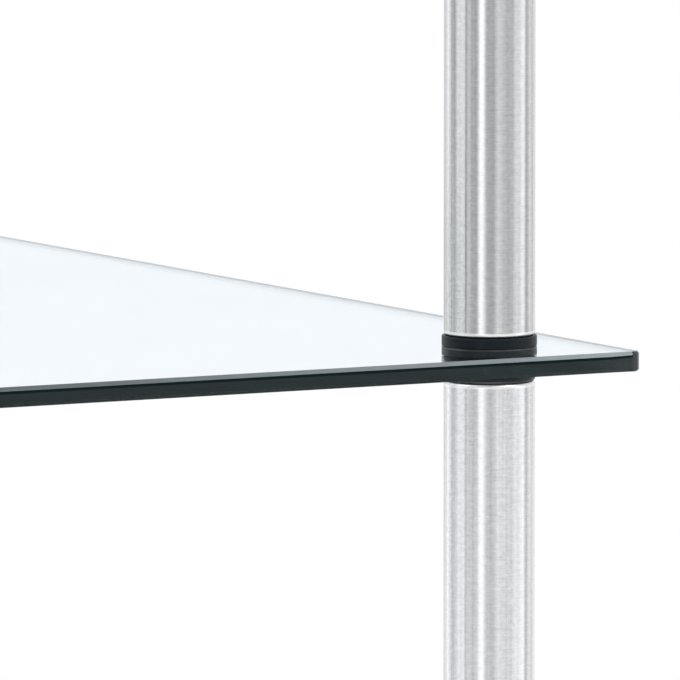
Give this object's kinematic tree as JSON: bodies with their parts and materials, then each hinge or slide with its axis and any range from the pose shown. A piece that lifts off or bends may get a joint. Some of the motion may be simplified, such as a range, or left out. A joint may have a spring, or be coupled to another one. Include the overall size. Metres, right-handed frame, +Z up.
{
  "type": "glass etagere",
  "caption": "Free-standing etagere of square clear glass shelves clamped between brushed stainless tube posts with black collars, on levelling feet.",
  "frame": {"origin": "on the floor under the middle of the shelves, feet screwed right in", "axes": "+Z up along the posts, front towards -Y, +X to the right seen from the front"},
  "size_m": [0.4, 0.4, 1],
  "materials": {
    "shelf_glass": "clear tempered float glass, ground arris, dark green polished edge",
    "brushed_stainless": "satin, brushed round the tube",
    "black_moulding": "black moulded plastic, fine satin",
    "black_rubber": "black rubber, matt",
    "zinc_plated_steel": "bright zinc plate"
  },
  "bodies": {
    "frame": {"shelf_1": "shelf_glass", "upper_washers_1": "black_rubber", "shoulder_washers_1": "black_rubber", "shelf_2": "shelf_glass", "upper_washers_2": "black_rubber", "shoulder_washers_2": "black_rubber", "shelf_3": "shelf_glass", "upper_washers_3": "black_rubber", "shoulder_washers_3": "black_rubber", "shelf_4": "shelf_glass", "upper_washers_4": "black_rubber", "shoulder_washers_4": "black_rubber", "post_plugs_1": "black_moulding", "post_inserts_1": "zinc_plated_steel", "studs_1": "zinc_plated_steel", "post_1_front_left": "brushed_stainless", "post_1_front_right": "brushed_stainless", "post_1_back_left": "brushed_stainless", "post_1_back_right": "brushed_stainless", "post_plugs_2": "black_moulding", "post_inserts_2": "zinc_plated_steel", "studs_2": "zinc_plated_steel", "post_2_front_left": "brushed_stainless", "post_2_front_right": "brushed_stainless", "post_2_back_left": "brushed_stainless", "post_2_back_right": "brushed_stainless", "post_plugs_3": "black_moulding", "post_inserts_3": "zinc_plated_steel", "studs_3": "zinc_plated_steel", "post_3_front_left": "brushed_stainless", "post_3_front_right": "brushed_stainless", "post_3_back_left": "brushed_stainless", "post_3_back_right": "brushed_stainless", "leg_front_left": "brushed_stainless", "leg_core_front_left": "zinc_plated_steel", "top_cap_front_left": "brushed_stainless", "leg_front_right": "brushed_stainless", "leg_core_front_right": "zinc_plated_steel", "top_cap_front_right": "brushed_stainless", "leg_back_left": "brushed_stainless", "leg_core_back_left": "zinc_plated_steel", "top_cap_back_left": "brushed_stainless", "leg_back_right": "brushed_stainless", "leg_core_back_right": "zinc_plated_steel", "top_cap_back_right": "brushed_stainless"},
    "foot_pad_front_left": {"foot_pad_front_left": "black_moulding"},
    "foot_stem_front_left": {"foot_stem_front_left": "zinc_plated_steel"},
    "foot_pad_front_right": {"foot_pad_front_right": "black_moulding"},
    "foot_stem_front_right": {"foot_stem_front_right": "zinc_plated_steel"},
    "foot_pad_back_left": {"foot_pad_back_left": "black_moulding"},
    "foot_stem_back_left": {"foot_stem_back_left": "zinc_plated_steel"},
    "foot_pad_back_right": {"foot_pad_back_right": "black_moulding"},
    "foot_stem_back_right": {"foot_stem_back_right": "zinc_plated_steel"}
  },
  "joints": [
    {"name": "foot_front_left_height", "type": "slide", "parent": "frame", "child": "foot_pad_front_left", "axis": [0, 0, -1], "range_m": [0, 0.0071]},
    {"name": "foot_front_left_turn", "type": "hinge", "parent": "foot_pad_front_left", "child": "foot_stem_front_left", "pos_m": [-0.1593, -0.186, 0], "axis": [0, 0, -1], "range_deg": [0, 2016]},
    {"name": "foot_front_right_height", "type": "slide", "parent": "frame", "child": "foot_pad_front_right", "axis": [0, 0, -1], "range_m": [0, 0.0071]},
    {"name": "foot_front_right_turn", "type": "hinge", "parent": "foot_pad_front_right", "child": "foot_stem_front_right", "pos_m": [0.1593, -0.186, 0], "axis": [0, 0, -1], "range_deg": [0, 2016]},
    {"name": "foot_back_left_height", "type": "slide", "parent": "frame", "child": "foot_pad_back_left", "axis": [0, 0, -1], "range_m": [0, 0.0071]},
    {"name": "foot_back_left_turn", "type": "hinge", "parent": "foot_pad_back_left", "child": "foot_stem_back_left", "pos_m": [-0.1593, 0.186, 0], "axis": [0, 0, -1], "range_deg": [0, 2016]},
    {"name": "foot_back_right_height", "type": "slide", "parent": "frame", "child": "foot_pad_back_right", "axis": [0, 0, -1], "range_m": [0, 0.0071]},
    {"name": "foot_back_right_turn", "type": "hinge", "parent": "foot_pad_back_right", "child": "foot_stem_back_right", "pos_m": [0.1593, 0.186, 0], "axis": [0, 0, -1], "range_deg": [0, 2016]}
  ],
  "couplings": [
    {"joint": "foot_front_left_height", "follows": "foot_front_left_turn", "m_per_rad": 0.00019894},
    {"joint": "foot_front_right_height", "follows": "foot_front_right_turn", "m_per_rad": 0.00019894},
    {"joint": "foot_back_left_height", "follows": "foot_back_left_turn", "m_per_rad": 0.00019894},
    {"joint": "foot_back_right_height", "follows": "foot_back_right_turn", "m_per_rad": 0.00019894}
  ]
}
